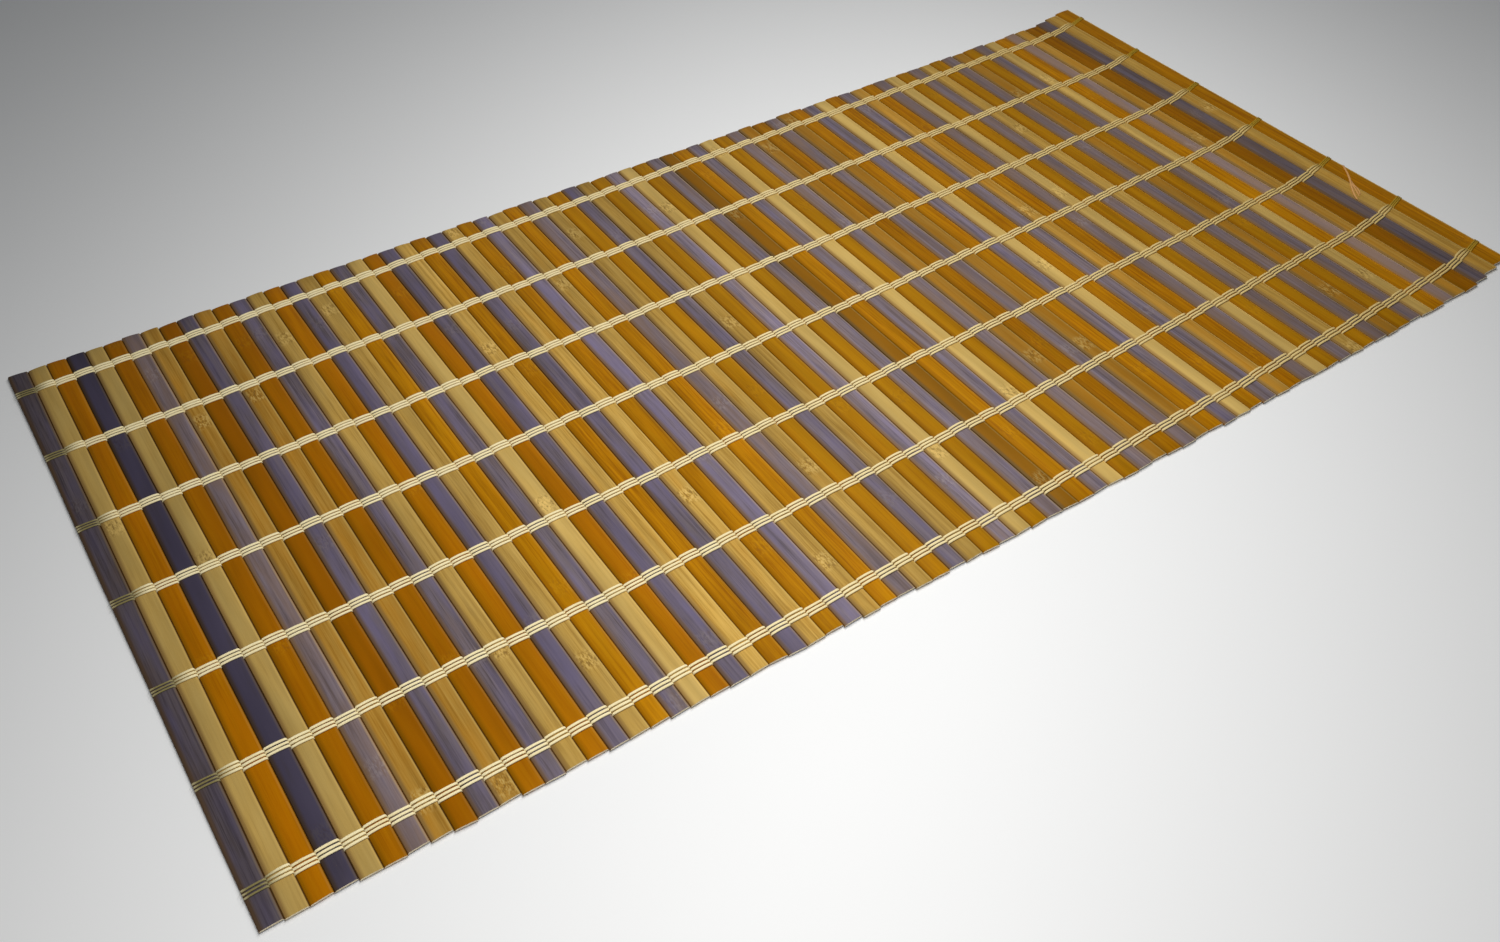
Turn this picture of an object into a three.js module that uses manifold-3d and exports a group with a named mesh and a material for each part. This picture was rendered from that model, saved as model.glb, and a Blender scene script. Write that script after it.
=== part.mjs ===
// Bamboo table runner: 75 split bamboo slats laid side by side and held by seven rows of cotton yarn.
// Millimetres, +Z up. The slats run along Y, the yarn rows along X, and the runner lies flat on the
// undersides of its yarn. +Y is the far long edge, and the origin is the middle of the underside.
import * as THREE from "three";
import { mergeVertices } from "three/addons/utils/BufferGeometryUtils.js";
import Module from "manifold-3d";

const wasm = await Module();
wasm.setup();

// Slats
const repeats = 25;
const slatsInRepeat = 3;
const slatCount = repeats * slatsInRepeat;
const slatLength = 393;
const slatThickness = 1.2;
const slatGap = 0.8;
const edgeCut = 0.25;

// The slats are split by hand, so their pitch changes along the runner: one row for each stretch.
const stretches = [
  { lastSlat: 20, pitch: 10.34 },
  { lastSlat: 40, pitch: 10.59 },
  { lastSlat: 56, pitch: 10.68 },
  { lastSlat: 71, pitch: 10.62 },
  { lastSlat: 73, pitch: 12.31 },
  { lastSlat: 74, pitch: 12.92 },
  { lastSlat: 75, pitch: 13.78 },
];
const pitchWander = 0.22;
const pitchWanderTurn = 2.3;

// The cut ends are a little uneven from one slat to the next.
const endWander = { coarse: 0.4, coarseTurn: 1.9, fine: 0.3, fineTurn: 4.7 };

// The runner bows towards the near side along its length, and springs back over its last slats.
const bow = { most: 7.9, turn: 1.96, returnFrom: 0.925, returnBy: 8.3 };

// Yarn rows from the far side to the near one. place is how far a row lies from the slats' far ends. The
// rows don't quite follow the slats' bow: sag is how much more a row bows, and lean how much it slants.
const yarnRows = [
  { place: 18.7, sag: -1.4, lean: -0.9 },
  { place: 77.8, sag: -1.1, lean: 0 },
  { place: 138, sag: -0.2, lean: 0 },
  { place: 196.4, sag: 1.3, lean: 0.8 },
  { place: 257, sag: 1.8, lean: 0.3 },
  { place: 315, sag: 2.9, lean: -0.5 },
  { place: 373.3, sag: 3.3, lean: -1.3 },
];

// In a row, three yarns lie side by side over the slats, and the same yarns lie flattened under them.
const yarnPitch = 2.05;
const yarnTop = 0.7;
const yarnUnder = 0.6;
const yarnCrownHalf = 0.4;
const yarnValley = 0.3;
const yarnEdge = 0.25;
const rowHalfWidth = 2.85;
const seat = 0.3;
const bowStations = 8;
const returnStations = 4;

// A thin web in the gap joins each natural slat to the orange one beside it.
const webThickness = 0.4;
const webBite = 0.2;
const webShort = 1.5;

const slatBottom = yarnUnder + seat;
const slatTop = slatBottom + slatThickness;

const bamboo = { roughness: 0.55, metalness: 0 };
const purpleBamboo = new THREE.MeshStandardMaterial({ color: 0x6b6376, ...bamboo });
const pairedBamboo = new THREE.MeshStandardMaterial({ vertexColors: true, ...bamboo });
const naturalColour = new THREE.Color(0xcbaa6c);
const orangeColour = new THREE.Color(0xa9650f);
const cottonYarn = new THREE.MeshStandardMaterial({ color: 0xe2d5b0, roughness: 0.9, metalness: 0 });

// Left edge of each slat's share of the runner, and the runner's right edge last.
function slatPlaces() {
  const places = [0];
  for (let slat = 1; slat <= slatCount; slat += 1) {
    const { pitch } = stretches.find((stretch) => slat <= stretch.lastSlat);
    const wander = pitchWander * Math.sin(pitchWanderTurn * slat);
    places.push(places[slat - 1] + pitch + wander);
  }
  return places;
}

const places = slatPlaces();
const leftEdge = slatGap / 2;
const rightEdge = places[slatCount] - slatGap / 2;

// How far the runner has bowed towards the near side at x.
function bowAt(x) {
  const share = x / places[slatCount];
  const back = Math.max(0, (share - bow.returnFrom) / (1 - bow.returnFrom));
  return bow.most * Math.sin(bow.turn * share) - bow.returnBy * back * back;
}

function endStep(slat) {
  const coarse = endWander.coarse * Math.sin(endWander.coarseTurn * slat);
  return coarse + endWander.fine * Math.sin(endWander.fineTurn * slat);
}

// One slat: a flat strip with its long edges eased, at its place in the runner.
function slatGeometry(slat) {
  const left = places[slat - 1] + slatGap / 2;
  const right = places[slat] - slatGap / 2;
  const section = new THREE.Shape([
    new THREE.Vector2(left + edgeCut, slatBottom),
    new THREE.Vector2(right - edgeCut, slatBottom),
    new THREE.Vector2(right, slatBottom + edgeCut),
    new THREE.Vector2(right, slatTop - edgeCut),
    new THREE.Vector2(right - edgeCut, slatTop),
    new THREE.Vector2(left + edgeCut, slatTop),
    new THREE.Vector2(left, slatTop - edgeCut),
    new THREE.Vector2(left, slatBottom + edgeCut),
  ]);
  const geometry = new THREE.ExtrudeGeometry(section, { depth: slatLength, bevelEnabled: false });
  geometry.rotateX(Math.PI / 2);
  geometry.translate(0, slatEnd(slat), 0);
  return geometry;
}

// The far end of a slat.
function slatEnd(slat) {
  const middle = (places[slat - 1] + places[slat]) / 2;
  return slatLength / 2 - bowAt(middle) + endStep(slat);
}

// The web between a slat and the next one, short of both slats' ends.
function webGeometry(slat) {
  const farEnd = Math.min(slatEnd(slat), slatEnd(slat + 1)) - webShort;
  const nearEnd = Math.max(slatEnd(slat), slatEnd(slat + 1)) - slatLength + webShort;
  const geometry = new THREE.BoxGeometry(slatGap + 2 * webBite, farEnd - nearEnd, webThickness);
  geometry.translate(places[slat], (farEnd + nearEnd) / 2, (slatBottom + slatTop) / 2);
  return geometry;
}

function solid(geometry) {
  const bare = geometry.clone();
  bare.deleteAttribute("normal");
  bare.deleteAttribute("uv");
  const merged = mergeVertices(bare);
  return new wasm.Manifold(
    new wasm.Mesh({
      numProp: 3,
      vertProperties: new Float32Array(merged.getAttribute("position").array),
      triVerts: new Uint32Array(merged.getIndex().array),
    }),
  );
}

// A natural and an orange slat joined by their web, coloured each its own side of the gap.
function pairGeometry(slat) {
  const joined = solid(slatGeometry(slat)).add(solid(slatGeometry(slat + 1))).add(solid(webGeometry(slat)));
  const { vertProperties, triVerts } = joined.getMesh();
  const geometry = new THREE.BufferGeometry();
  geometry.setAttribute("position", new THREE.Float32BufferAttribute(vertProperties, 3));
  geometry.setIndex(new THREE.Uint32BufferAttribute(triVerts, 1));
  const position = geometry.getAttribute("position");
  const colours = [];
  for (let vertex = 0; vertex < position.count; vertex += 1) {
    const side = position.getX(vertex) < places[slat] ? naturalColour : orangeColour;
    colours.push(side.r, side.g, side.b);
  }
  geometry.setAttribute("color", new THREE.Float32BufferAttribute(colours, 3));
  geometry.computeVertexNormals();
  return geometry;
}

// Where a row's outline bends: even steps along the bow, closer ones where it springs back.
function rowStations() {
  const from = leftEdge - seat;
  const to = rightEdge + seat;
  const turn = from + (to - from) * bow.returnFrom;
  const stations = [];
  for (let step = 0; step < bowStations; step += 1) {
    stations.push(THREE.MathUtils.lerp(from, turn, step / bowStations));
  }
  for (let step = 0; step <= returnStations; step += 1) {
    stations.push(THREE.MathUtils.lerp(turn, to, step / returnStations));
  }
  return stations;
}

// Heights across a row, from its near side to its far side: three yarns with a valley between them.
function rowSection() {
  const section = [{ across: -rowHalfWidth, height: yarnEdge }];
  for (let yarn = -1; yarn <= 1; yarn += 1) {
    const middle = yarn * yarnPitch;
    section.push({ across: middle - yarnCrownHalf, height: yarnTop });
    section.push({ across: middle + yarnCrownHalf, height: yarnTop });
    if (yarn < 1) {
      section.push({ across: middle + yarnPitch / 2, height: yarnValley });
    }
  }
  section.push({ across: rowHalfWidth, height: yarnEdge });
  return section;
}

// The y of a row's middle line at x.
function rowMiddle({ place, sag, lean }, x) {
  const share = x / places[slatCount];
  return slatLength / 2 - place - bowAt(x) - sag * Math.sin(Math.PI * share) - lean * (share - 0.5);
}

// A row is one closed loop round all the slats: ridged over them, flat under them, turned at both ends.
function rowGeometry(row) {
  const section = rowSection();
  const stations = rowStations();
  const last = stations.length - 1;
  const loop = [];
  stations.forEach((x, index) => {
    const outward = index === 0 ? -1 : Number(index === last);
    loop.push({ x, inner: yarnUnder, outward, under: true });
  });
  [...stations].reverse().forEach((x, index) => {
    const outward = index === 0 ? 1 : -Number(index === last);
    loop.push({ x, inner: slatTop + seat, outward, under: false });
  });

  const corners = [];
  for (const { x, inner, outward, under } of loop) {
    const y = rowMiddle(row, x);
    corners.push([x, y - rowHalfWidth, inner]);
    for (const { across, height } of section) {
      const rise = under ? yarnUnder : height;
      corners.push([x + outward * rise, y + across, under ? inner - rise : inner + rise]);
    }
    corners.push([x, y + rowHalfWidth, inner]);
  }

  const around = section.length + 2;
  const indices = [];
  for (let step = 0; step < loop.length; step += 1) {
    const here = step * around;
    const next = ((step + 1) % loop.length) * around;
    for (let point = 0; point < around; point += 1) {
      const beside = (point + 1) % around;
      indices.push(here + point, here + beside, next + beside);
      indices.push(here + point, next + beside, next + point);
    }
  }
  const geometry = new THREE.BufferGeometry();
  geometry.setAttribute("position", new THREE.Float32BufferAttribute(corners.flat(), 3));
  geometry.setIndex(indices);
  geometry.computeVertexNormals();
  return geometry;
}

function named(name, geometry, material) {
  const mesh = new THREE.Mesh(geometry, material);
  mesh.name = name;
  return mesh;
}

const runner = new THREE.Group();
for (let repeat = 0; repeat < repeats; repeat += 1) {
  const first = repeat * slatsInRepeat + 1;
  const number = String(repeat + 1).padStart(2, "0");
  runner.add(named(`purple_slat_${number}`, slatGeometry(first), purpleBamboo));
  runner.add(named(`natural_orange_slats_${number}`, pairGeometry(first + 1), pairedBamboo));
}
yarnRows.forEach((row, index) => {
  runner.add(named(`yarn_row_${index + 1}`, rowGeometry(row), cottonYarn));
});

// The origin goes to the middle of the underside.
const box = new THREE.Box3().setFromObject(runner);
const centre = box.getCenter(new THREE.Vector3());
runner.position.set(-centre.x, -centre.y, -box.min.z);

const part = new THREE.Group();
part.add(runner);
export default part;
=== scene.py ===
"""Bamboo table runner: split bamboo slats in three colours, held by seven rows of cotton yarn.

The slats run along Y and the yarn rows along X. Each row is six yarns in plain weave: three lie over a
slat while the other three pass under it, and they change places in every gap. Sizes in the classes are
millimetres where nothing else is said, and MM turns them into Blender's metres.
"""

import logging
import math
import random
from dataclasses import dataclass, field
from enum import Enum
from typing import Iterable, Sequence

import bmesh
import bpy
from mathutils import Matrix, Quaternion, Vector


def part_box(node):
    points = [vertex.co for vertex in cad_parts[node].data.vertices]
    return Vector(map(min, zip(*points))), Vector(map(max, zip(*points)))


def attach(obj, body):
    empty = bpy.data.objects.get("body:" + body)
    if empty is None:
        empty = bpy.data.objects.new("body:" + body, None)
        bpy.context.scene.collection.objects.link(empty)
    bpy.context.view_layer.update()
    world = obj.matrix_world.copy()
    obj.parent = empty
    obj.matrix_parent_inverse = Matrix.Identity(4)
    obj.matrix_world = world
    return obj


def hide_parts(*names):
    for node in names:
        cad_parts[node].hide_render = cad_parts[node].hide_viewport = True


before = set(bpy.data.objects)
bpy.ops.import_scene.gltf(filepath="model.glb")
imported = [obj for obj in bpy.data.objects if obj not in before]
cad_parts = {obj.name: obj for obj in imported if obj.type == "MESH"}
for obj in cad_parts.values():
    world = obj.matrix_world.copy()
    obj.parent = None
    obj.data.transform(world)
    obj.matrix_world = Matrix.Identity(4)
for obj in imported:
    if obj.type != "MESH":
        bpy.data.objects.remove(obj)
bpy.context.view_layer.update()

log = logging.getLogger("bamboo_runner")

MM = 0.001
FULL_TURN = 2 * math.pi
BODY = "root"

# The random draws start from these seeds, plus the number of the gap, slat or row
GAP_SEED = 3750
SLAT_SEED = 75000
ROW_SEED = 7500

# The row whose yarn ends in the loose end
TAIL_ROW = 5

# The way that the slats run, across the runner
ACROSS = Vector((0, 1, 0))

Pair = tuple[float, float]
Triple = tuple[float, float, float]
Colour = Triple

# A yarn's middle line: its points, each with its thickness as a share of the full one
Way = list[tuple[Vector, float]]


class Dye(Enum):
    """The colours of slat, in their order along the runner."""

    PURPLE = "purple_bamboo"
    NATURAL = "natural_bamboo"
    ORANGE = "orange_bamboo"


def deselect_all() -> None:
    """Leaves nothing selected, so that an operator acts on the next new object alone."""
    bpy.ops.object.select_all(action="DESELECT")


def own_attribute(mesh: bpy.types.Mesh, name: str, values: Sequence[float]) -> None:
    """Stores one number for each vertex, for a material to read.

    Args:
        mesh: The mesh that gets the attribute.
        name: The attribute's name.
        values: One number for each vertex, in the mesh's own order.
    """
    layer = mesh.attributes.new(name, "FLOAT", "POINT")
    layer.data.foreach_set("value", values)


def smooth_step(low: float, high: float, value: float) -> float:
    """Rises softly from 0 at low to 1 at high.

    Args:
        low: Where the rise starts.
        high: Where it ends. It may lie below low.
        value: Where to read it.

    Returns:
        A number from 0 to 1.
    """
    share = min(max((value - low) / (high - low), 0.0), 1.0)
    return share * share * (3 - 2 * share)


class Value:
    """A shader node's output, on which Python's operators add Math nodes."""

    def __init__(self, shader: "Shader", socket: bpy.types.NodeSocket) -> None:
        """Wraps one output of the shader's tree."""
        self.shader = shader
        self.socket = socket

    def maths(self, operation: str, first: "Value | float", second: "Value | float") -> "Value":
        """The output of a new Math node with these two inputs."""
        return self.shader.add("ShaderNodeMath", {"operation": operation}, {0: first, 1: second})

    def __add__(self, other: "Value | float") -> "Value":
        """Sum."""
        return self.maths("ADD", self, other)

    __radd__ = __add__

    def __sub__(self, other: "Value | float") -> "Value":
        """Difference."""
        return self.maths("SUBTRACT", self, other)

    def __rsub__(self, other: float) -> "Value":
        """Difference from a number."""
        return self.maths("SUBTRACT", other, self)

    def __mul__(self, other: "Value | float") -> "Value":
        """Product."""
        return self.maths("MULTIPLY", self, other)

    __rmul__ = __mul__

    def __abs__(self) -> "Value":
        """Distance from nought."""
        return self.maths("ABSOLUTE", self, 0.0)

    def most(self, other: "Value | float") -> "Value":
        """The larger of the two."""
        return self.maths("MAXIMUM", self, other)

    def sine(self) -> "Value":
        """Its sine, from radians."""
        return self.maths("SINE", self, 0.0)

    def cosine(self) -> "Value":
        """Its cosine, from radians."""
        return self.maths("COSINE", self, 0.0)


class Shader:
    """One material's node tree, ending in its Principled BSDF."""

    def __init__(self, name: str) -> None:
        """Starts a new material of this name."""
        self.material = bpy.data.materials.new(name)
        self.material.use_nodes = True
        self.tree = self.material.node_tree
        self.surface = self.tree.nodes["Principled BSDF"]

    def feed(self, socket: bpy.types.NodeSocket, value: "Value | float | Sequence[float]") -> None:
        """Links a value to a socket, or sets a number or colour on it.

        Args:
            socket: The input to fill.
            value: A wrapped output, a number, a vector or a colour.
        """
        if isinstance(value, Value):
            self.tree.links.new(value.socket, socket)
        elif isinstance(value, (int, float)):
            socket.default_value = value
        else:
            room = len(socket.default_value)
            socket.default_value = (*value, 1.0)[:room]

    def add(self, kind: str, settings: dict, inputs: dict, output: int | str = 0) -> Value:
        """Adds any node.

        Args:
            kind: The node's type.
            settings: Its own settings, such as an operation, which are set first.
            inputs: What goes into its sockets, by name or number.
            output: The output that is wanted.

        Returns:
            That output.
        """
        node = self.tree.nodes.new(kind)
        for name, value in settings.items():
            setattr(node, name, value)
        for name, value in inputs.items():
            self.feed(node.inputs[name], value)
        return Value(self, node.outputs[output])

    def place(self) -> Value:
        """The point's own place in the runner, in metres."""
        return self.add("ShaderNodeTexCoord", {}, {}, "Object")

    def place_along(self, axis: int) -> Value:
        """The point's place along one axis, 0 for X to 2 for Z."""
        return self.add("ShaderNodeSeparateXYZ", {}, {0: self.place()}, axis)

    def attribute(self, name: str) -> Value:
        """A number that the mesh holds at each vertex."""
        return self.add("ShaderNodeAttribute", {"attribute_name": name}, {}, "Fac")

    def noise(self, place: Value, repeats: Sequence[float], detail: float, rough: float) -> Value:
        """Soft noise, drawn out along any axis.

        Args:
            place: Where it is read.
            repeats: How many features it has in a metre along X, Y and Z.
            detail: How many finer layers it has.
            rough: How strong those are.

        Returns:
            A number round 0.5.
        """
        scaled = self.add("ShaderNodeVectorMath", {"operation": "MULTIPLY"}, {0: place, 1: repeats})
        levels = {"Vector": scaled, "Scale": 1.0, "Detail": detail, "Roughness": rough}
        return self.add("ShaderNodeTexNoise", {}, levels)

    def step(self, value: Value, low: float, high: float) -> Value:
        """A soft step from 0 at low to 1 at high."""
        edges = {"Value": value, "From Min": low, "From Max": high}
        return self.add("ShaderNodeMapRange", {"interpolation_type": "SMOOTHSTEP"}, edges)

    def blend(self, mask: "Value | float", first: "Value | Colour", second: "Value | Colour") -> Value:
        """Goes from the first colour to the second as the mask goes from 0 to 1."""
        colour_inputs = {0: mask, 6: first, 7: second}
        return self.add("ShaderNodeMix", {"data_type": "RGBA", "clamp_factor": True}, colour_inputs, 2)

    def brightened(self, colour: Value, by: Value) -> Value:
        """The colour times a number."""
        return self.add("ShaderNodeVectorMath", {"operation": "SCALE"}, {0: colour, 3: by})

    def relief(self, height: Value, depth: float, strength: float) -> Value:
        """A normal that follows a height.

        Args:
            height: The height, from 0 to 1.
            depth: How deep a step of 1 is, in metres.
            strength: How much of it shows.

        Returns:
            The normal.
        """
        return self.add("ShaderNodeBump", {}, {"Height": height, "Distance": depth, "Strength": strength})

    def finish(self, levels: dict[str, "Value | float | Colour"]) -> bpy.types.Material:
        """Fills the surface's own sockets.

        Args:
            levels: What goes into each, by name.

        Returns:
            The finished material.
        """
        for name, value in levels.items():
            self.feed(self.surface.inputs[name], value)
        return self.material


@dataclass(frozen=True)
class BambooFinish:
    """The face of split bamboo, natural or dyed.

    The hue goes from the body's towards one of two others, in patches and from slat to slat. Each slat has
    brighter and darker stretches along it. Fibre, hair, patch, fleck and stretch give how many of each lie
    in a metre along X, Y and Z, and patches and flecks how strongly these two show. A band is where a soft
    step starts and ends, and lengths are metres.
    """

    body: Colour
    deep: Colour
    bleached: Colour
    one_hue: Colour
    other_hue: Colour
    # edge is the colour of the painted shade on each slat's left edge
    edge: Colour
    # side is the colour of the painted shade on the slats' sides down in the gaps
    side: Colour
    sheen_tint: Colour
    patches: float
    flecks: float
    gloss: float
    # raw is the undyed colour that the right edge pales towards, for rubbed dye and a painted highlight
    raw: Colour = (0.6, 0.4, 0.115)
    speck: Colour = (0.15, 0.08, 0.02)
    fibre: Triple = (820.0, 13.0, 300.0)
    hair: Triple = (3300.0, 70.0, 1500.0)
    patch: Triple = (160.0, 24.0, 60.0)
    fleck: Triple = (1000.0, 330.0, 300.0)
    stretch: Triple = (130.0, 11.0, 60.0)
    fibre_share: float = 0.65
    deep_band: Pair = (0.36, 0.56)
    bleached_band: Pair = (0.52, 0.74)
    bleached_most: float = 0.5
    unevenness: float = 0.7
    gloss_change: float = 0.22
    shine: float = 0.16
    grain_depth: float = 0.09 * MM
    grain_shows: float = 0.7
    knuckle_half: float = 8.5 * MM
    knuckle_core: float = 0.35
    pale_band: Pair = (0.5, 0.56)
    dark_band: Pair = (0.45, 0.39)
    dark_most: float = 0.8
    # The right edge's paling: partly dye rubbed off, partly a painted highlight where it faces the light
    worn_and_lit_band: Pair = (0.76, 0.93)
    # Painted shade on the left edge, which faces away from the light
    painted_shade_band: Pair = (-0.45, -0.92)
    painted_shade_most: float = 0.92
    # Painted shade on the sides, down in the gaps between slats
    gap_shade_heights: Pair = (0.95, 0.3)
    gap_shade_band: Pair = (0.96, 1.0)
    gap_shade_most: float = 0.95

    def make(self, name: str) -> bpy.types.Material:
        """Builds the material under this name."""
        shader = Shader(name)
        place = shader.place()
        fibres = shader.noise(place, self.fibre, detail=5.0, rough=0.62)
        hairs = shader.noise(place, self.hair, detail=3.0, rough=0.6)
        patches = shader.noise(place, self.patch, detail=3.0, rough=0.55)
        stretches = shader.noise(place, self.stretch, detail=2.0, rough=0.5)
        grain = self.fibre_share * fibres + (1 - self.fibre_share) * hairs

        colour = shader.blend(shader.step(grain, *self.deep_band), self.deep, self.body)
        pale = self.bleached_most * shader.step(grain, *self.bleached_band)
        colour = shader.blend(pale, colour, self.bleached)
        hue = self.patches * (patches - 0.5) + shader.attribute("turned")
        colour = shader.blend(hue, colour, self.one_hue)
        colour = shader.blend(0.0 - hue, colour, self.other_hue)
        colour = self.knuckles(shader, colour)
        colour = self.edges(shader, colour)
        brightness = shader.attribute("tone") * (1.0 + self.unevenness * (stretches - 0.5))
        colour = shader.brightened(colour, brightness)
        return shader.finish(
            {
                "Base Color": colour,
                "Roughness": self.gloss + self.gloss_change * (fibres - 0.5),
                "Specular IOR Level": self.shine,
                "Specular Tint": self.sheen_tint,
                "Normal": shader.relief(grain, self.grain_depth, self.grain_shows),
            }
        )

    def knuckles(self, shader: Shader, colour: Value) -> Value:
        """Adds the flecked patches where the cane's knuckles were planed flat.

        Args:
            shader: The material's tree.
            colour: The face's colour so far.

        Returns:
            The colour with the patches.
        """
        along = shader.place_along(1)
        fades = (self.knuckle_half, self.knuckle_core * self.knuckle_half)
        one = abs(along - shader.attribute("knuckle_one"))
        other = abs(along - shader.attribute("knuckle_two"))
        near = shader.step(one, *fades).most(shader.step(other, *fades))
        strokes = shader.noise(shader.place(), self.fleck, detail=3.0, rough=0.7)
        pale = near * shader.step(strokes, *self.pale_band) * self.flecks
        dark = near * shader.step(strokes, *self.dark_band) * self.flecks
        colour = shader.blend(pale, colour, self.bleached)
        return shader.blend(self.dark_most * dark, colour, self.speck)

    def edges(self, shader: Shader, colour: Value) -> Value:
        """Pales the right edge for rubbed dye and a painted highlight, and paints shade on the left edge
        and sides.

        Args:
            shader: The material's tree.
            colour: The face's colour so far.

        Returns:
            The colour with its edges.
        """
        across = shader.attribute("across")
        height = shader.attribute("height")
        # The right edge pales towards the raw colour: partly rubbed dye, partly a painted highlight
        worn_and_lit = shader.step(across, *self.worn_and_lit_band) * shader.attribute("bare")
        colour = shader.blend(worn_and_lit, colour, self.raw)
        # Painted shade on the left edge, which faces away from the light
        painted_shade = self.painted_shade_most * shader.step(across, *self.painted_shade_band)
        colour = shader.blend(painted_shade, colour, self.edge)
        # Painted shade on the sides, down in the dark gaps between slats
        side = shader.step(height, *self.gap_shade_heights) * shader.step(abs(across), *self.gap_shade_band)
        return shader.blend(self.gap_shade_most * side, colour, self.side)


@dataclass(frozen=True)
class CutFinish:
    """Sawn ends, which the dye doesn't reach: pale, with the dark dots of the cane's bundles."""

    name: str = "cut_bamboo"
    body: Colour = (0.84, 0.74, 0.54)
    dots: Colour = (0.52, 0.39, 0.22)
    dot_repeats: float = 2300.0
    dot_band: Pair = (0.42, 0.22)
    dot_most: float = 0.7
    dot_depth: float = 0.05 * MM
    smudge: Triple = (400.0, 400.0, 400.0)
    smudge_band: Pair = (0.4, 0.7)
    smudge_most: float = 0.35
    roughness: float = 0.8

    def make(self) -> bpy.types.Material:
        """Builds the material."""
        shader = Shader(self.name)
        place = shader.place()
        cells = {"Vector": place, "Scale": self.dot_repeats}
        dots = shader.step(shader.add("ShaderNodeTexVoronoi", {}, cells, "Distance"), *self.dot_band)
        smudge = shader.noise(place, self.smudge, detail=2.0, rough=0.5)
        colour = shader.blend(self.dot_most * dots, self.body, self.dots)
        smudged = self.smudge_most * shader.step(smudge, *self.smudge_band)
        colour = shader.blend(smudged, colour, self.dots)
        rise = shader.relief(1.0 - dots, self.dot_depth, strength=0.6)
        return shader.finish({"Base Color": colour, "Roughness": self.roughness, "Normal": rise})


@dataclass(frozen=True)
class YarnFinish:
    """Cream plied cotton, yellower towards the right and stained where glue holds it to the end slats.

    ply is the length of one twist, and aged_band and tan_band are places along X, all in metres.
    """

    name: str = "cotton_yarn"
    cotton: Colour = (0.95, 0.84, 0.52)
    # Painted shade between the plies of the twist
    groove_shade: Colour = (0.91, 0.8, 0.48)
    soiled: Colour = (0.84, 0.69, 0.35)
    aged: Colour = (0.68, 0.505, 0.195)
    khaki: Colour = (0.22, 0.185, 0.072)
    tan: Colour = (0.42, 0.255, 0.012)
    loose_end: Colour = (0.66, 0.35, 0.12)
    ply: float = 1.5 * MM
    fuzz: Triple = (2600.0, 2600.0, 2600.0)
    fuzz_in_twist: float = 1.6
    fuzz_share: float = 0.25
    twist_band: Pair = (0.0, 0.7)
    groove_shade_band: Pair = (0.0, 0.55)
    smudge: Triple = (120.0, 300.0, 120.0)
    soiled_band: Pair = (0.45, 0.75)
    soiled_most: float = 0.5
    aged_band: Pair = (-0.32, 0.38)
    tan_band: Pair = (-0.1, 0.1)
    roughness: float = 0.9
    smoother_by: float = 0.25
    relief_depth: float = 0.03 * MM

    def make(self) -> bpy.types.Material:
        """Builds the material."""
        shader = Shader(self.name)
        place = shader.place()
        x = shader.place_along(0)
        fuzz = shader.noise(place, self.fuzz, detail=3.0, rough=0.65)
        smudge = shader.noise(place, self.smudge, detail=2.0, rough=0.5)
        run = shader.attribute("run") * (FULL_TURN / self.ply) + self.fuzz_in_twist * fuzz
        wound = run.sine() * shader.attribute("turn_cosine") + run.cosine() * shader.attribute("turn_sine")
        twist = shader.step(0.5 + 0.5 * wound, *self.twist_band)
        plies = (1 - self.fuzz_share) * twist + self.fuzz_share * fuzz

        # Painted shade between the plies, where the twist dips
        colour = shader.blend(shader.step(plies, *self.groove_shade_band), self.groove_shade, self.cotton)
        soiled = self.soiled_most * shader.step(smudge, *self.soiled_band)
        colour = shader.blend(soiled, colour, self.soiled)
        colour = shader.blend(shader.step(x, *self.aged_band), colour, self.aged)
        stain = shader.blend(shader.step(x, *self.tan_band), self.khaki, self.tan)
        colour = shader.blend(shader.attribute("glue"), colour, stain)
        colour = shader.blend(shader.attribute("loose"), colour, self.loose_end)
        return shader.finish(
            {
                "Base Color": colour,
                "Roughness": self.roughness - self.smoother_by * shader.attribute("glue"),
                "Specular IOR Level": 0.12,
                "Sheen Weight": 0.06,
                "Sheen Roughness": 0.5,
                "Normal": shader.relief(plies, self.relief_depth, strength=0.5),
            }
        )


@dataclass(frozen=True)
class Cast:
    """Slats of one dye that look alike.

    tone is how bright they are beside the rest, and turned how far their hue goes from the body's, towards
    the dye's one hue at 1 or its other hue at -1.
    """

    slats: tuple[int, ...]
    tone: float
    turned: float


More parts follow.
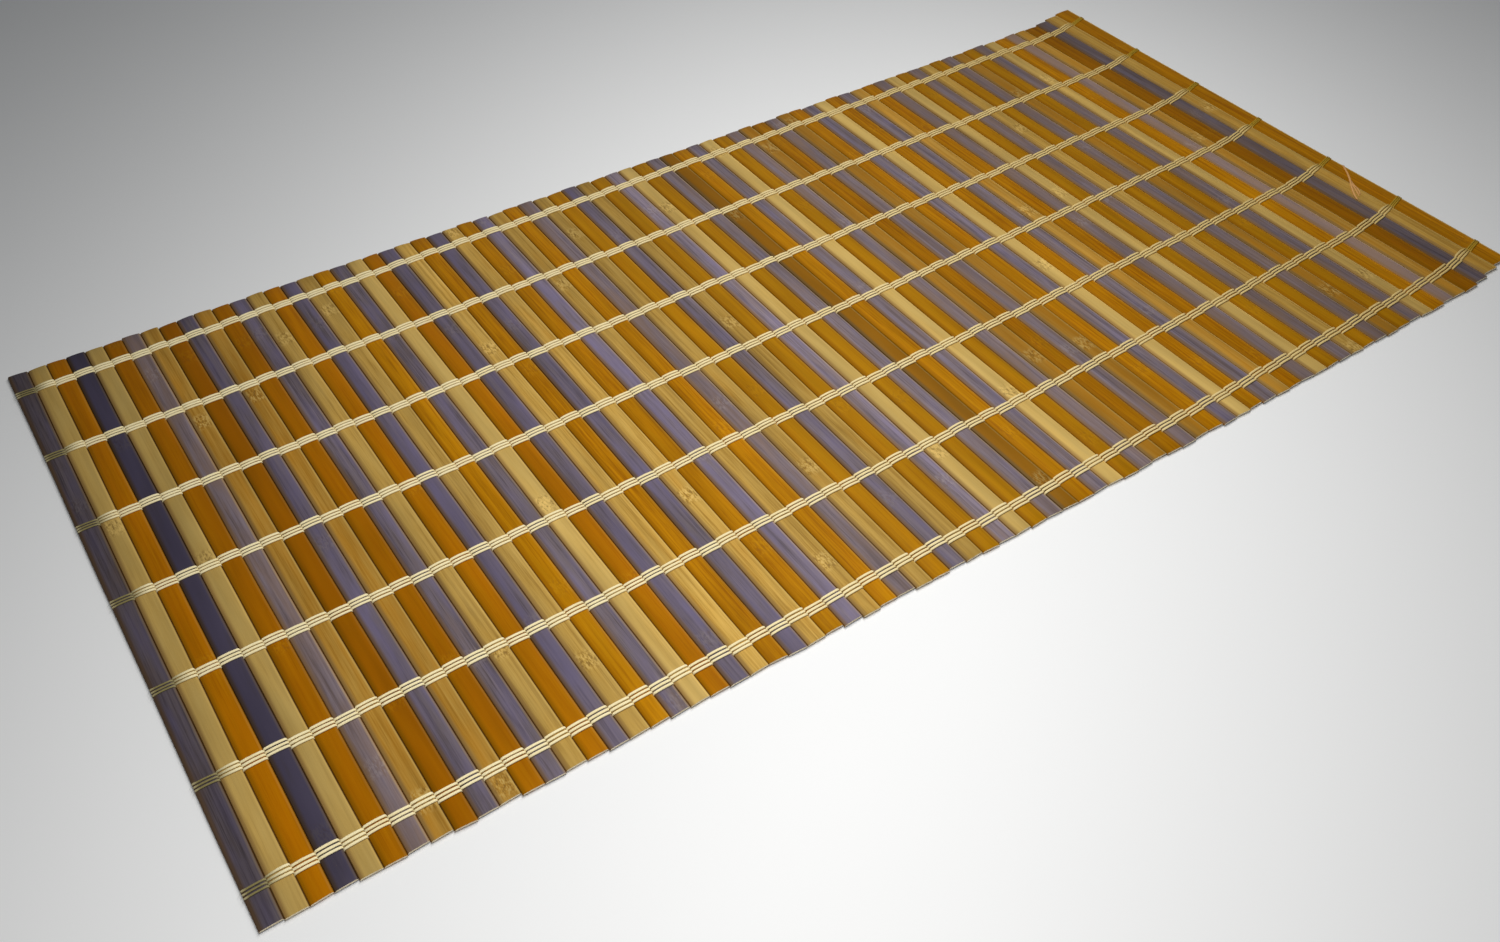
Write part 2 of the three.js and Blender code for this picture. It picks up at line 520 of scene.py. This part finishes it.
# Groups of slats that look alike: their numbers, tone and turned
CASTS = (
    Cast((1,), 0.5, 0.16),
    Cast((4,), 0.31, 1.0),
    Cast((10, 16, 22, 25), 0.82, 0.45),
    Cast((13, 19, 34), 0.92, 0.15),
    Cast((28,), 1.18, 0.4),
    Cast((37,), 1.38, 0.0),
    Cast((40, 43, 52, 55), 1.13, -0.05),
    Cast((7, 31, 46, 49), 1.2, -0.45),
    Cast((58, 61, 64, 67), 1.08, -0.5),
    Cast((70,), 1.7, -0.9),
    Cast((73,), 0.82, -0.35),
    Cast((20, 44, 53), 1.24, -0.75),
    Cast((38, 59, 68), 1.11, -0.65),
    Cast((2, 5), 0.96, -0.7),
    Cast((23, 26), 1.17, 0.05),
    Cast((14, 17), 1.03, -0.25),
    Cast((32, 35), 0.88, -0.1),
    Cast((8, 11), 0.88, 0.35),
    Cast((56, 71), 0.98, 0.4),
    Cast((47, 50, 65), 0.73, 0.65),
    Cast((41,), 0.52, 1.0),
    Cast((74, 75), 1.13, 0.1),
    Cast((3, 15, 21), 1.0, -0.65),
    Cast((6, 12), 0.86, -0.7),
    Cast((9,), 0.74, -1.0),
    Cast((33,), 1.07, 0.6),
    Cast((36, 39, 45, 60, 63, 66), 0.93, 0.6),
    Cast((18, 30, 69), 1.18, 0.2),
    Cast((24, 27, 42, 51, 54), 1.08, 0.13),
    Cast((48,), 0.83, 0.0),
    Cast((72,), 0.78, -0.2),
)

# Where the flecked knuckle patches of some natural slats lie, in millimetres along Y, by the slat's number
KNUCKLES = {
    2: (54, -236),
    5: (8, -285),
    8: (106, -174),
    11: (111, -186),
    17: (160, -148),
    20: (-50, 230),
    23: (76, -205),
    26: (-85, 192),
    29: (106, -160),
    32: (148, -102),
    35: (20, -262),
    50: (-108, 181),
    53: (-39, 250),
    59: (14, -270),
    62: (88, -197),
    68: (-155, 128),
}

# How pale the right edge is, from 0 to 1: partly dye rubbed off it, partly a painted highlight
BARE_AND_LIT_EDGES = {Dye.PURPLE: 0.25, Dye.NATURAL: 0.6, Dye.ORANGE: 0.12}

# The loose end's hidden start: how far inside the runner's right edge each point lies, how far on the near
# side of its row's middle line, and its height. Thicknesses are shares of the full yarn's.
HIDDEN_START = (
    (4.2, 3.0, 0.5),
    (3.2, 6.5, 0.5),
    (1.2, 9.5, 0.5),
    (-0.28, 10.8, 1.1),
)
HIDDEN_THICKNESS = 0.7

# Its course over the slats: how far inside that edge each point lies, its y, and its thickness
LOOSE_END = (
    (0.8, -68.5, 0.75),
    (2.6, -70.6, 0.85),
    (4.4, -73.2, 0.9),
    (6.7, -76.4, 0.9),
    (10.5, -81.1, 0.95),
    (14.5, -85.4, 1.0),
    (18.0, -88.8, 1.0),
    (21.4, -92.6, 1.0),
    (24.0, -96.0, 0.95),
    (25.6, -98.8, 0.8),
    (26.3, -100.2, 0.4),
)

# The two plies that part from it, in the same form
PARTED_PLIES = (
    ((11.6, -82.6, 0.5), (14.6, -86.6, 0.75), (17.4, -91.2, 0.8), (20.4, -95.6, 0.75), (22.4, -98.4, 0.4)),
    ((11.2, -82.2, 0.5), (13.8, -86.8, 0.75), (15.6, -91.6, 0.75), (18.2, -95.4, 0.7), (20.2, -97.4, 0.35)),
)


@dataclass
class Slat:
    """One split bamboo slat, at the place that the frame gives it.

    left, right, near, far, bottom and top are in metres, and other lengths in millimetres. Turns are where
    the waves and bends start, in radians, and bend_angle and twist_angle are how far they go from the
    slat's middle to its ends. skew_power is how fast an end's skew dies away from it. The spreads and the
    knuckles' places and gaps limit the random draws.
    """

    number: int
    dye: Dye
    node: str
    left: float
    right: float
    near: float
    far: float
    bottom: float
    top: float
    crown: float = 0.24
    wave: float = 0.11
    wave_length: float = 170.0
    ripple: float = 0.02
    ripple_length: float = 52.0
    flare: float = 0.5
    bend: float = 0.08
    bend_angle: float = 2.6
    twist: float = 0.1
    twist_angle: float = 1.9
    end_skew: float = 0.35
    skew_power: int = 30
    tone_spread: float = 0.03
    hue_spread: float = 0.08
    knuckle_places: Pair = (-180.0, 180.0)
    knuckle_gaps: Pair = (255.0, 310.0)
    wave_turns: Pair = field(init=False)
    ripple_turns: Pair = field(init=False)
    bend_turn: float = field(init=False)
    twist_turn: float = field(init=False)
    skews: Pair = field(init=False)
    bends: Pair = field(init=False)
    tone: float = field(init=False)
    turned: float = field(init=False)
    bare: float = field(init=False)
    knuckles: Pair = field(init=False)

    def __post_init__(self) -> None:
        """Draws what makes this slat differ from its neighbours, and the waves that it shares with them."""
        gaps = (self.number - 1, self.number)
        self.wave_turns = tuple(random.Random(GAP_SEED + gap).uniform(0, FULL_TURN) for gap in gaps)
        draw = random.Random(SLAT_SEED + self.number)
        # The first two are spare, because the slow waves have draws of their own
        turns = [draw.uniform(0, FULL_TURN) for _ in range(6)]
        self.ripple_turns = (turns[2], turns[3])
        self.bend_turn, self.twist_turn = turns[4:]
        self.skews = (draw.uniform(-1, 1), draw.uniform(-1, 1))
        self.bends = (draw.uniform(-1, 1), draw.uniform(-1, 1))
        self.tone = draw.uniform(1 - self.tone_spread, 1 + self.tone_spread)
        self.turned = draw.uniform(-self.hue_spread, self.hue_spread)
        self.bare = BARE_AND_LIT_EDGES[self.dye]
        first = draw.uniform(*self.knuckle_places)
        second = first - math.copysign(draw.uniform(*self.knuckle_gaps), first)
        self.knuckles = KNUCKLES.get(self.number, (first, second))
        for cast in CASTS:
            if self.number in cast.slats:
                self.tone *= cast.tone
                self.turned += cast.turned

    def share(self, y: float) -> float:
        """How far along the slat y is, from -1 at its near end to 1 at its far end."""
        return (2 * y - self.near - self.far) / (self.far - self.near)

    def sides(self, y: float) -> Pair:
        """Where the slat's two long edges run at y.

        Args:
            y: A place along the slat, in metres.

        Returns:
            The x of its left edge and of its right edge.
        """
        slow, quick = FULL_TURN / (self.wave_length * MM), FULL_TURN / (self.ripple_length * MM)
        shifts = [
            self.wave * math.sin(slow * y + wave_turn) + self.ripple * math.sin(quick * y + ripple_turn)
            for wave_turn, ripple_turn in zip(self.wave_turns, self.ripple_turns)
        ]
        return self.left + shifts[0] * MM, self.right + shifts[1] * MM

    def rise(self, across: float, y: float) -> float:
        """How far the slat's bend and twist lift a point.

        Args:
            across: From -1 at the left edge to 1 at the right one.
            y: A place along the slat, in metres.

        Returns:
            The lift in metres.
        """
        share = self.share(y)
        bend = self.bend * self.bends[0] * math.cos(self.bend_angle * share + self.bend_turn)
        twist = self.twist * self.bends[1] * math.sin(self.twist_angle * share + self.twist_turn)
        return (bend + twist * across) * MM

    def across_at(self, x: float, y: float) -> float:
        """How far across the slat a point lies, from -1 at the left edge to 1 at the right one."""
        left, right = self.sides(y)
        return min(max((2 * x - left - right) / (right - left), -1.0), 1.0)

    def top_at(self, x: float, y: float) -> float:
        """The height of the slat's crowned face, in metres."""
        across = self.across_at(x, y)
        return self.top - self.crown * MM * across * across + self.rise(across, y)

    def under_at(self, x: float, y: float) -> float:
        """The height of the slat's flat underside, in metres."""
        return self.bottom + self.rise(self.across_at(x, y), y)

    def shape(self, blank: bpy.types.Object, finishes: Sequence[bpy.types.Material]) -> bpy.types.Object:
        """Copies the blank and lays the copy in this slat's place.

        Args:
            blank: The straight slat, with its middle at the origin.
            finishes: The material of its faces and that of its sawn ends.

        Returns:
            The slat.
        """
        piece = blank.copy()
        piece.data = blank.data.copy()
        piece.name = f"{self.dye.value}_{(self.number - 1) // len(Dye) + 1:02d}"
        bpy.context.collection.objects.link(piece)
        for finish in finishes:
            piece.data.materials.append(finish)

        half = [max(vertex.co[axis] for vertex in piece.data.vertices) for axis in range(3)]
        middle, reach = (self.near + self.far) / 2, (self.far - self.near) / 2
        acrosses, heights = [], []
        for vertex in piece.data.vertices:
            across, share, height = (vertex.co[axis] / half[axis] for axis in range(3))
            skew = self.skews[0 if share > 0 else 1] * self.end_skew * MM * abs(share) ** self.skew_power
            y = middle + share * reach + skew * across
            left, right = self.sides(y)
            half_width = (right - left) / 2 + (1 - height) / 2 * self.flare * MM
            low = self.bottom + (height + 1) / 2 * (self.top - self.bottom)
            dip = self.crown * MM * across * across * (height > 0)
            vertex.co = ((left + right) / 2 + across * half_width, y, low - dip + self.rise(across, y))
            acrosses.append(across)
            heights.append(height)

        own_attribute(piece.data, "across", acrosses)
        own_attribute(piece.data, "height", heights)
        same_all_over = {
            "tone": self.tone,
            "turned": self.turned,
            "bare": self.bare,
            "knuckle_one": self.knuckles[0] * MM,
            "knuckle_two": self.knuckles[1] * MM,
        }
        for name, value in same_all_over.items():
            own_attribute(piece.data, name, [value] * len(heights))
        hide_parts(self.node)
        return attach(piece, BODY)


@dataclass
class SlatSet:
    """All the slats: one blank, and a copy of it for every slat in the frame.

    Edges that turn by less than smooth_below, in radians, look smooth. end_facing and in_line are how
    nearly an end face must look along Y, and an edge run along an axis.
    """

    width: float = 9.6
    length: float = 393.0
    thickness: float = 1.2
    cuts_along: int = 47
    cuts_across: int = 5
    eased: float = 0.22
    ease_steps: int = 2
    smooth_below: float = math.radians(50)
    end_facing: float = 0.9
    in_line: float = 0.99
    slats: list[Slat] = field(default_factory=list)

    def read_places(self) -> None:
        """Reads every slat's place from the frame. A pair's solid holds the places of two slats."""
        repeats = sum(name.startswith("purple_slat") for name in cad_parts)
        for repeat in range(repeats):
            single, pair = f"purple_slat_{repeat + 1:02d}", f"natural_orange_slats_{repeat + 1:02d}"
            points = [vertex.co.copy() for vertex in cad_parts[pair].data.vertices]
            places = sorted({round(point.x, 6) for point in points})
            middle = len(places) // 2
            seam = (places[middle - 1] + places[middle]) / 2
            first = repeat * len(Dye) + 1
            self.place(first, Dye.PURPLE, single, map(Vector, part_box(single)))
            self.place(first + 1, Dye.NATURAL, pair, [point for point in points if point.x < seam])
            self.place(first + 2, Dye.ORANGE, pair, [point for point in points if point.x > seam])
        # The last slat's outer edge is palest: no dye is left on it, and its painted highlight is full
        self.slats[-1].bare = 1.0

    def place(self, number: int, dye: Dye, node: str, points: Iterable[Vector]) -> None:
        """Adds one slat that fills the box of some points.

        Args:
            number: Its number, from 1 at the purple end.
            dye: Its colour.
            node: The solid that it stands for.
            points: Points of that solid, in metres.
        """
        # A pair's web meets both slats on their facing sides, so it widens neither box
        xs, ys, zs = zip(*points)
        self.slats.append(Slat(number, dye, node, min(xs), max(xs), min(ys), max(ys), min(zs), max(zs)))

    def blank(self) -> bpy.types.Object:
        """Models the straight slat: a strip cut up along and across, with its edges eased."""
        deselect_all()
        bpy.ops.mesh.primitive_cube_add(size=1, location=(0, 0, 0))
        strip = bpy.context.object
        strip.scale = (self.width * MM, self.length * MM, self.thickness * MM)
        bpy.ops.object.transform_apply(location=False, rotation=False, scale=True)
        self.divide(strip, axis=1, cuts=self.cuts_along)
        self.divide(strip, axis=0, cuts=self.cuts_across)
        ease = strip.modifiers.new("eased edges", "BEVEL")
        ease.width = self.eased * MM
        ease.segments = self.ease_steps
        ease.limit_method = "ANGLE"
        bpy.ops.object.modifier_apply(modifier=ease.name)
        bpy.ops.object.shade_smooth_by_angle(angle=self.smooth_below)
        for face in strip.data.polygons:
            face.material_index = int(abs(face.normal.y) > self.end_facing)
        return strip

    def divide(self, strip: bpy.types.Object, axis: int, cuts: int) -> None:
        """Cuts the edges that run along one axis.

        Args:
            strip: The strip to cut.
            axis: The axis, 0 for X and 1 for Y.
            cuts: How many cuts each edge gets.
        """
        bpy.ops.object.mode_set(mode="EDIT")
        bpy.ops.mesh.select_mode(type="EDGE")
        bpy.ops.mesh.select_all(action="DESELECT")
        shape = bmesh.from_edit_mesh(strip.data)
        for edge in shape.edges:
            run = edge.verts[1].co - edge.verts[0].co
            edge.select_set(abs(run[axis]) > self.in_line * run.length)
        shape.select_flush_mode()
        bmesh.update_edit_mesh(strip.data)
        bpy.ops.mesh.subdivide(number_cuts=cuts)
        bpy.ops.object.mode_set(mode="OBJECT")

    def build(self, finishes: dict[Dye, bpy.types.Material], sawn: bpy.types.Material) -> None:
        """Makes every slat.

        Args:
            finishes: The material of each dye.
            sawn: The material of the sawn ends.
        """
        strip = self.blank()
        for slat in self.slats:
            piece = slat.shape(strip, (finishes[slat.dye], sawn))
            log.info("%s: %d faces", piece.name, len(piece.data.polygons))
        bpy.data.objects.remove(strip)


@dataclass
class YarnRow:
    """One row: six yarns in plain weave, in three pairs that turn back round the end slats.

    Rows and the yarns in them are counted from the far side. Rates are radians a metre. A stop is how far
    across a slat it lies, from -1 to 1, and the yarn's thickness there. A turn stop is its share of the
    turn, how far out from the slat's edge it lies, and the thickness. glue_fades is how far inside the
    right edges of the second slat and the first the glue starts and is full, glue_grows the same for the
    left edges of the last two, and glue_lip how far it fades round the first left edge.
    """

    number: int
    slats: list[Slat]
    yarns: int = 6
    sides: int = 8
    plies: int = 2
    yarn_wide: float = 1.45
    yarn_high: float = 1.0
    spacing: float = 1.03
    drift: float = 0.36
    stray: float = 0.09
    plump_spread: float = 0.05
    wander: float = 0.22
    wander_rate: float = 46.0
    tremor: float = 0.12
    tremor_rate: float = 131.0
    stops: tuple[Pair, ...] = (
        (-0.93, 0.95),
        (-0.55, 1.0),
        (0.0, 1.03),
        (0.55, 1.0),
        (0.93, 0.95),
    )
    turn_stops: tuple[Triple, ...] = ((0.15, 0.06, 0.56), (0.5, 0.14, 0.5), (0.85, 0.06, 0.56))
    in_gap: float = 0.6
    at_edge: float = 0.86
    edge_share: float = 0.12
    edge_drop: float = 0.14
    glued_by: float = 0.72
    glue_fades: Pair = (1.0, 2.5)
    glue_lip: float = 1.4
    glue_grows: Pair = (5.0, 2.0)
    drawn_in: float = 0.12
    drawn_in_right: float = 0.42
    flat_within: float = 0.01
    tail: bool = False
    stations: list[Pair] = field(init=False)
    draw: random.Random = field(init=False)
    wander_turn: float = field(init=False)
    tremor_turn: float = field(init=False)

    def __post_init__(self) -> None:
        """Reads the row's middle line from its solid's underside."""
        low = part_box(self.node)[0][2]
        seen: dict[float, list[float]] = {}
        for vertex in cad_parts[self.node].data.vertices:
            if vertex.co.z < low + self.flat_within * MM:
                seen.setdefault(round(vertex.co.x, 5), []).append(vertex.co.y)
        self.stations = [(x, (min(ys) + max(ys)) / 2) for x, ys in sorted(seen.items())]
        self.draw = random.Random(ROW_SEED + self.number)
        # The last turn is spare
        turns = [self.draw.uniform(0, FULL_TURN) for _ in range(3)]
        self.wander_turn, self.tremor_turn = turns[:2]

    @property
    def node(self) -> str:
        """The solid that this row stands for."""
        return f"yarn_row_{self.number}"

    def middle(self, x: float) -> float:
        """The y of the row's middle line at x, in metres, with the hand-laid row's slight wander."""
        for before, after in zip(self.stations, self.stations[1:]):
            if x <= after[0]:
                break
        share = (x - before[0]) / (after[0] - before[0])
        wander = self.wander * math.sin(self.wander_rate * x + self.wander_turn)
        wander += self.tremor * math.sin(self.tremor_rate * x + self.tremor_turn)
        return before[1] + share * (after[1] - before[1]) + wander * MM

    def glue(self, x: float) -> float:
        """How soaked with glue the yarn is at x: fully on the end slats, and less on those beside them."""
        first, second = self.slats[:2]
        beside, last = self.slats[-2:]
        fade, full = (inside * MM for inside in self.glue_fades)
        left = smooth_step(second.right - fade, first.right - full, x)
        left *= smooth_step(first.left - self.glue_lip * MM, first.left + self.glue_lip * MM, x)
        fade, full = (inside * MM for inside in self.glue_grows)
        return max(left, smooth_step(beside.left + fade, last.left + full, x))

    def side_by_side(self, yarn: int, x: float) -> float:
        """How far a yarn lies from the row's middle line, in metres. The glued ends are drawn together."""
        drawn_in = (self.drawn_in if x < 0 else self.drawn_in_right) * self.glue(x)
        return (0.5 * (self.yarns - 1) - yarn) * self.spacing * MM * (1 - drawn_in)

    def pass_slat(self, yarn: int, slat: Slat) -> Way:
        """The yarn's way over or under one slat.

        Args:
            yarn: The yarn's number in its row.
            slat: The slat that it passes.

        Returns:
            Its middle line from left to right.
        """
        over = (yarn + slat.number) % 2 == 0
        lean = self.drift if over else -self.drift
        stray = self.draw.uniform(-self.stray, self.stray)
        plump = self.draw.uniform(1 - self.plump_spread, 1 + self.plump_spread)
        way = []
        for across, thick in self.stops:
            rough_x = (slat.left + slat.right + across * (slat.right - slat.left)) / 2
            y = self.middle(rough_x) + self.side_by_side(yarn, rough_x)
            y += (0.5 * lean * across + stray * (1 - across * across)) * MM
            left, right = slat.sides(y)
            x = (left + right + across * (right - left)) / 2
            thick *= plump * (1 - (1 - self.glued_by) * self.glue(x))
            half = 0.5 * self.yarn_high * MM * thick
            z = slat.top_at(x, y) + half if over else slat.under_at(x, y) - half
            way.append((Vector((x, y, max(z, half))), thick))
        return way

    def pass_gap(self, before: Way, after: Way, left: float, right: float) -> Way:
        """The yarn's steep way through one gap.

        Args:
            before: Its way on the slat to the gap's left.
            after: Its way on the slat to the right.
            left: The x of the gap's left side, in metres.
            right: The x of its right side.

        Returns:
            Three points in the gap.
        """
        start, end = before[-1][0], after[0][0]
        way = []
        for share, down, thick in (
            (self.edge_share, self.edge_drop, self.at_edge),
            (0.5, 0.5, self.in_gap),
            (1 - self.edge_share, 1 - self.edge_drop, self.at_edge),
        ):
            x = left + share * (right - left)
            point = Vector((x, start.y + share * (end.y - start.y), start.z + down * (end.z - start.z)))
            way.append((point, thick))
        return way

    def whole_way(self, yarn: int) -> Way:
        """A yarn's way along the whole runner, from left to right."""
        way: Way = []
        here = self.pass_slat(yarn, self.slats[0])
        for slat, beside in zip(self.slats, self.slats[1:]):
            ahead = self.pass_slat(yarn, beside)
            y = here[-1][0].y
            way += here + self.pass_gap(here, ahead, slat.sides(y)[1], beside.sides(y)[0])
            here = ahead
        return way + here

    def turn_back(self, start: Vector, end: Vector, edge: float, outward: int) -> Way:
        """The turn round an end slat, from one face to the other.

        Args:
            start: Where the yarn leaves the one face.
            end: Where it meets the other.
            edge: The x of the slat's outer edge, in metres.
            outward: 1 at the right end and -1 at the left one.

        Returns:
            Three points round the edge.
        """
        way = []
        for share, out, thick in self.turn_stops:
            point = start.lerp(end, share)
            point.x = edge + outward * out * MM
            way.append((point, thick))
        return way

    def pair_loop(self, first: int) -> Way:
        """Two neighbouring yarns, of which this is the first, as one closed loop."""
        out, back = self.whole_way(first), self.whole_way(first + 1)[::-1]
        right_edge = self.slats[-1].sides(out[-1][0].y)[1]
        left_edge = self.slats[0].sides(out[0][0].y)[0]
        right_turn = self.turn_back(out[-1][0], back[0][0], right_edge, 1)
        left_turn = self.turn_back(back[-1][0], out[0][0], left_edge, -1)
        return out + right_turn + back + left_turn

    def on_slats(self, course: Sequence[Triple]) -> Way:
        """Lays a loose end's course on the faces of the last two slats.

        Args:
            course: How far inside the runner's edge each point lies, its y and its thickness.

        Returns:
            Its way over the faces.
        """
        beside, last = self.slats[-2:]
        way = []
        for inside, y_place, thick in course:
            x, y = last.right - inside * MM, y_place * MM
            slat = last if x > last.left else beside
            way.append((Vector((x, y, slat.top_at(x, y) + 0.5 * thick * self.yarn_high * MM)), thick))
        return way

    def tail_ways(self) -> list[Way]:
        """The loose end, from under the last slat to where its plies part on top of the one beside it."""
        edge = self.slats[-1].right
        start = self.middle(edge)
        hidden = [
            (Vector((edge - inside * MM, start - nearer * MM, height * MM)), HIDDEN_THICKNESS)
            for inside, nearer, height in HIDDEN_START
        ]
        return [hidden + self.on_slats(LOOSE_END), *map(self.on_slats, PARTED_PLIES)]

    def wrap(self, shape: bmesh.types.BMesh, way: Way, loose: bool) -> None:
        """Wraps an oval tube round a line of points, its wide side always level across the row.

        Args:
            shape: The row's mesh so far.
            way: The line of points.
            loose: Whether it is a loose end and not a closed loop.
        """
        layers = shape.verts.layers.float
        count, run, rings = len(way), 0.0, []
        for index, (point, thick) in enumerate(way):
            before = point if loose and index == 0 else way[index - 1][0]
            after = point if loose and index + 1 == count else way[(index + 1) % count][0]
            ahead = (after - before).normalized()
            level = (ACROSS - ahead * ahead.dot(ACROSS)).normalized()
            upright = ahead.cross(level)
            run += (point - way[index - 1][0]).length if index else 0.0
            ring = []
            for side in range(self.sides):
                angle = FULL_TURN * side / self.sides
                wide = level * (0.5 * self.yarn_wide * math.cos(angle))
                high = upright * (0.5 * self.yarn_high * math.sin(angle))
                vertex = shape.verts.new(point + (wide + high) * MM * thick)
                vertex[layers["run"]] = run
                vertex[layers["turn_cosine"]] = math.cos(self.plies * angle)
                vertex[layers["turn_sine"]] = math.sin(self.plies * angle)
                vertex[layers["glue"]] = 0.0 if loose else self.glue(point.x)
                vertex[layers["loose"]] = float(loose)
                ring.append(vertex)
            rings.append(ring)
        for here, there in zip(rings, rings[1:] if loose else rings[1:] + rings[:1]):
            for side in range(self.sides):
                beside = (side + 1) % self.sides
                shape.faces.new((here[side], here[beside], there[beside], there[side]))
        if loose:
            shape.faces.new(rings[0][::-1])
            shape.faces.new(rings[-1])

    def build(self, finish: bpy.types.Material) -> bpy.types.Object:
        """Makes the row.

        Args:
            finish: The yarn's material.

        Returns:
            The row's mesh.
        """
        shape = bmesh.new()
        for name in ("run", "turn_cosine", "turn_sine", "glue", "loose"):
            shape.verts.layers.float.new(name)
        for first in range(0, self.yarns, 2):
            self.wrap(shape, self.pair_loop(first), loose=False)
        for way in self.tail_ways() if self.tail else ():
            self.wrap(shape, way, loose=True)
        mesh = bpy.data.meshes.new(f"cotton_row_{self.number}")
        shape.to_mesh(mesh)
        shape.free()
        mesh.materials.append(finish)
        mesh.shade_smooth()
        piece = bpy.data.objects.new(mesh.name, mesh)
        bpy.context.collection.objects.link(piece)
        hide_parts(self.node)
        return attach(piece, BODY)


@dataclass(frozen=True)
class Lamp:
    """One soft area light. Places and sizes are metres, and spin turns it about its own aim."""

    name: str
    place: Triple
    aim: Triple
    sizes: Pair
    spin: float
    power: float
    colour: Colour

    def build(self) -> None:
        """Adds the light."""
        deselect_all()
        bpy.ops.object.light_add(type="AREA", location=self.place)
        lamp = bpy.context.object
        lamp.name = self.name
        lamp.data.shape = "RECTANGLE"
        lamp.data.size, lamp.data.size_y = self.sizes
        lamp.data.energy = self.power
        lamp.data.color = self.colour
        way = Vector(self.aim) - Vector(self.place)
        turn = way.to_track_quat("-Z", "Y") @ Quaternion((0, 0, 1), self.spin)
        lamp.rotation_euler = turn.to_euler()


@dataclass
class Studio:
    """The camera at the photograph's place, a plain pale floor and soft light.

    Lengths are metres, but lens and sensor are millimetres. mottle is how many blotches lie in a metre.
    """

    camera_place: Triple = (-0.38808, -0.50569, 0.50792)
    camera_right: Triple = (0.82728, -0.56171, 0.00979)
    camera_up: Triple = (0.3906, 0.58762, 0.70862)
    lens: float = 33.05
    sensor: float = 36.0
    clip_start: float = 0.01
    floor_side: float = 8.0
    floor_colour: Colour = (0.86, 0.87, 0.88)
    floor_roughness: float = 0.5
    mottle: Triple = (9.0, 9.0, 9.0)
    mottle_most: float = 0.08
    sky: Colour = (0.92, 0.96, 1.0)
    sky_strength: float = 0.1
    lamps: tuple[Lamp, ...] = (
        Lamp(
            name="tube",
            place=(-0.08, -0.153, 0.56),
            aim=(-0.08, -0.153, 0.0),
            sizes=(1.1, 0.14),
            spin=0.769,
            power=4.83,
            colour=(1.0, 0.985, 0.96),
        ),
        Lamp(
            name="far window",
            place=(0.8, 1.7, 0.9),
            aim=(0.1, 0.0, 0.0),
            sizes=(1.2, 1.2),
            spin=0.0,
            power=1.2,
            colour=(0.93, 0.97, 1.0),
        ),
    )

    def build(self) -> None:
        """Adds the floor, the camera, the lamps and the sky."""
        self.add_floor()
        self.add_camera()
        for lamp in self.lamps:
            lamp.build()
        world = bpy.data.worlds.new("soft sky")
        world.use_nodes = True
        backdrop = world.node_tree.nodes["Background"]
        backdrop.inputs["Color"].default_value = (*self.sky, 1.0)
        backdrop.inputs["Strength"].default_value = self.sky_strength
        bpy.context.scene.world = world
        bpy.context.scene.view_settings.view_transform = "Standard"

    def add_floor(self) -> None:
        """Adds the floor that the runner lies on."""
        deselect_all()
        bpy.ops.mesh.primitive_plane_add(size=self.floor_side, location=(0, 0, 0))
        floor = bpy.context.object
        floor.name = "floor"
        shader = Shader("floor")
        mottle = shader.noise(shader.place(), self.mottle, detail=2.0, rough=0.5)
        roughness = self.floor_roughness + self.mottle_most * mottle
        finish = shader.finish({"Base Color": self.floor_colour, "Roughness": roughness})
        floor.data.materials.append(finish)

    def add_camera(self) -> None:
        """Adds the camera and makes it the scene's own."""
        deselect_all()
        bpy.ops.object.camera_add()
        camera = bpy.context.object
        right, up = Vector(self.camera_right), Vector(self.camera_up)
        turn = Matrix((right, up, right.cross(up))).transposed()
        camera.matrix_world = Matrix.Translation(self.camera_place) @ turn.to_4x4()
        camera.data.sensor_width = self.sensor
        camera.data.lens = self.lens
        camera.data.clip_start = self.clip_start
        bpy.context.scene.camera = camera


FINISHES = {
    Dye.PURPLE: BambooFinish(
        body=(0.165, 0.133, 0.157),
        deep=(0.085, 0.066, 0.076),
        bleached=(0.28, 0.23, 0.22),
        one_hue=(0.165, 0.139, 0.235),
        other_hue=(0.165, 0.109, 0.083),
        edge=(0.155, 0.09, 0.042),
        side=(0.2, 0.085, 0.012),
        sheen_tint=(1.0, 0.92, 0.95),
        patches=2.2,
        flecks=0.3,
        gloss=0.55,
    ),
    Dye.NATURAL: BambooFinish(
        body=(0.46, 0.28, 0.06),
        deep=(0.3, 0.165, 0.028),
        bleached=(0.62, 0.42, 0.13),
        one_hue=(0.46, 0.19, 0.006),
        other_hue=(0.46, 0.32, 0.102),
        edge=(0.24, 0.142, 0.045),
        side=(0.17, 0.09, 0.03),
        sheen_tint=(1.0, 0.72, 0.3),
        patches=1.0,
        flecks=0.75,
        gloss=0.5,
    ),
    Dye.ORANGE: BambooFinish(
        body=(0.385, 0.155, 0.001),
        deep=(0.24, 0.08, 0.0005),
        bleached=(0.5, 0.24, 0.008),
        one_hue=(0.385, 0.182, 0.003),
        other_hue=(0.385, 0.127, 0.0005),
        edge=(0.27, 0.105, 0.001),
        side=(0.27, 0.115, 0.006),
        sheen_tint=(1.0, 0.5, 0.08),
        patches=1.0,
        flecks=0.3,
        gloss=0.5,
    ),
}


def main() -> None:
    """Builds the runner and the studio."""
    logging.basicConfig(level=logging.INFO, format="%(name)s: %(message)s")
    slats = SlatSet()
    slats.read_places()
    finishes = {dye: finish.make(dye.value) for dye, finish in FINISHES.items()}
    slats.build(finishes, CutFinish().make())
    yarn = YarnFinish().make()
    row_count = sum(name.startswith("yarn_row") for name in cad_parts)
    for number in range(1, row_count + 1):
        row = YarnRow(number, slats.slats, tail=number == TAIL_ROW).build(yarn)
        log.info("%s: %d faces", row.name, len(row.data.polygons))
    Studio().build()


if __name__ == "__main__":
    main()
